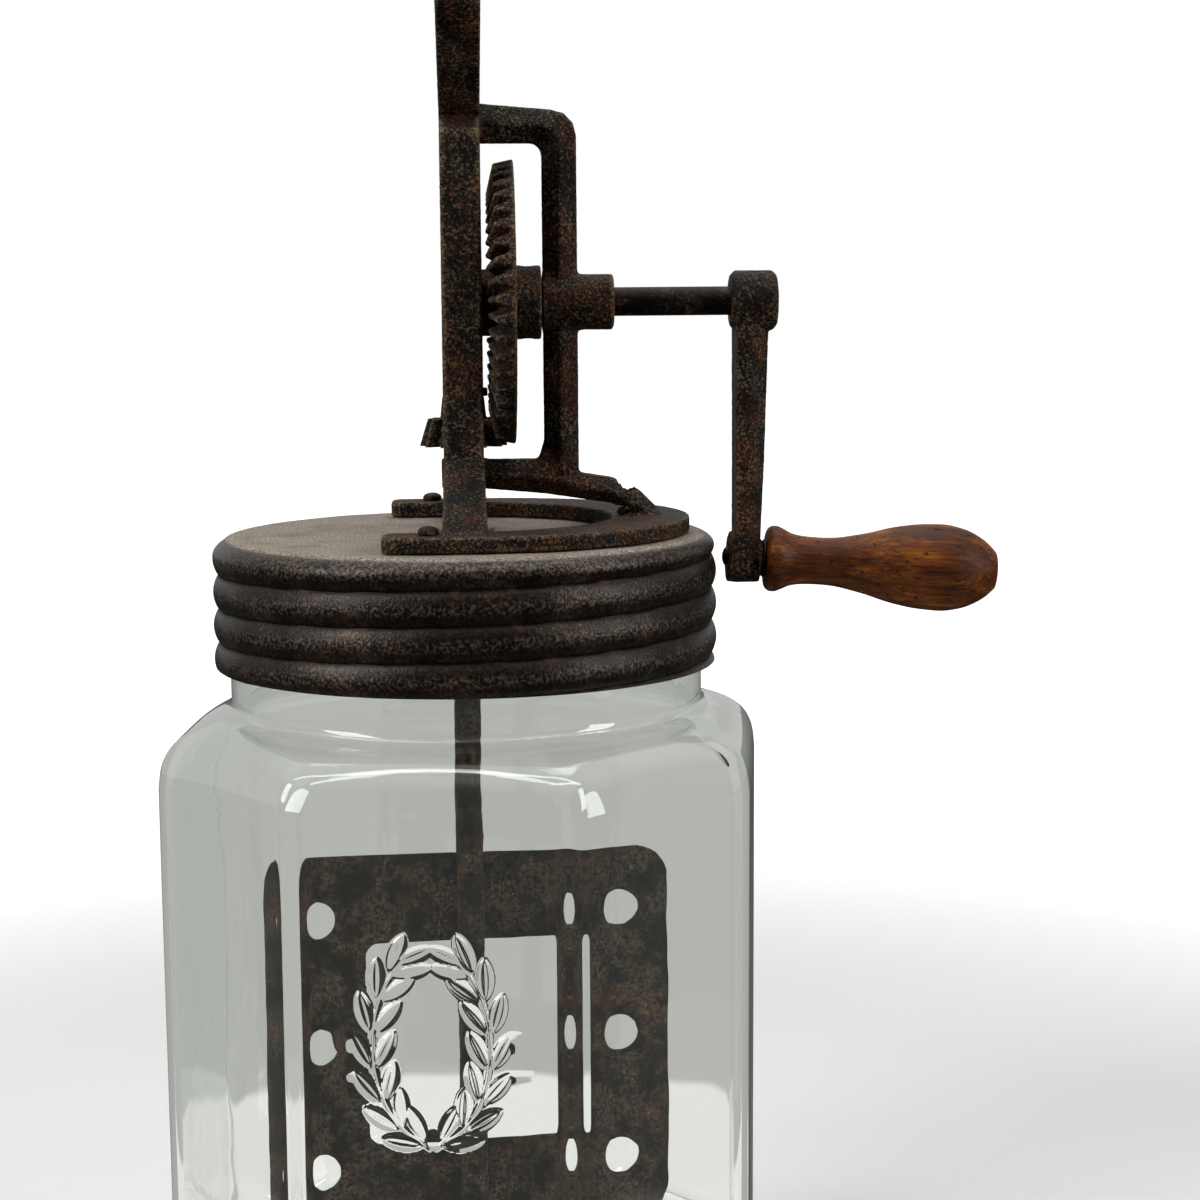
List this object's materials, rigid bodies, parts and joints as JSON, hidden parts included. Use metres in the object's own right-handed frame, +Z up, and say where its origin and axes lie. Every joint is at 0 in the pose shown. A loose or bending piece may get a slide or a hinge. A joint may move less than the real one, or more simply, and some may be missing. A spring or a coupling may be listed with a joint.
{
  "type": "butter churn",
  "caption": "Hand cranked butter churn: iron gear frame on a screw lid turns a punched paddle in an eight sided glass jar.",
  "frame": {"origin": "centre of the jar's underside", "axes": "+Z up along the dasher's axis, +X towards the crank, -Y towards the viewer of the picture"},
  "size_m": [0.2684, 0.1928, 0.4538],
  "materials": {
    "glass": "clear, faintly green",
    "lid_steel": "worn brown, with rust in the thread",
    "cast_iron": "dark sand cast surface, with rust in the corners",
    "dark_steel": "dark, tarnished",
    "paddle_steel": "mottled brown grey",
    "turned_wood": "oiled, worn smooth",
    "seal_rubber": "matt",
    "bush_brass": "tarnished"
  },
  "bodies": {
    "jar": {"glass_jar": "glass"},
    "head": {"lid": "lid_steel", "lid_seal": "seal_rubber", "rod_bush": "bush_brass", "frame": "cast_iron", "frame_screw_1": "dark_steel", "frame_screw_2": "dark_steel", "frame_screw_3": "dark_steel", "frame_nut_1": "dark_steel", "frame_nut_2": "dark_steel", "frame_nut_3": "dark_steel", "top_grip_rod": "dark_steel", "top_grip_nut_front": "dark_steel", "top_grip_nut_back": "dark_steel"},
    "crank": {"crank_shaft": "dark_steel", "drive_gear": "cast_iron", "gear_pin": "cast_iron", "crank_arm": "cast_iron", "grip_pin": "dark_steel", "grip_washer_inner": "dark_steel", "grip_washer_outer": "dark_steel"},
    "crank_grip": {"crank_grip": "turned_wood"},
    "dasher": {"pinion": "cast_iron", "pinion_pin": "dark_steel", "thrust_collar": "dark_steel", "dasher_rod": "dark_steel", "paddle": "paddle_steel", "paddle_rivet_upper": "dark_steel", "paddle_rivet_lower": "dark_steel"},
    "top_grip": {"top_grip": "turned_wood"}
  },
  "joints": [
    {"name": "lid_lift", "type": "slide", "parent": "jar", "child": "head", "axis": [0, 0, 1], "range_m": [0, 0.235]},
    {"name": "crank_spin", "type": "hinge", "parent": "head", "child": "crank", "pos_m": [0, 0, 0.3252], "axis": [1, 0, 0], "continuous": true},
    {"name": "dasher_spin", "type": "hinge", "parent": "head", "child": "dasher", "pos_m": [0, 0, 0.2], "axis": [0, 0, 1], "continuous": true},
    {"name": "grip_spin", "type": "hinge", "parent": "crank", "child": "crank_grip", "pos_m": [0.0846, 0, 0.2432], "axis": [0.9977, 0, -0.068], "continuous": true},
    {"name": "top_grip_spin", "type": "hinge", "parent": "head", "child": "top_grip", "pos_m": [0, 0, 0.44], "axis": [0, 1, 0], "continuous": true}
  ],
  "couplings": [
    {"joint": "dasher_spin", "follows": "crank_spin", "ratio": 3.75}
  ]
}
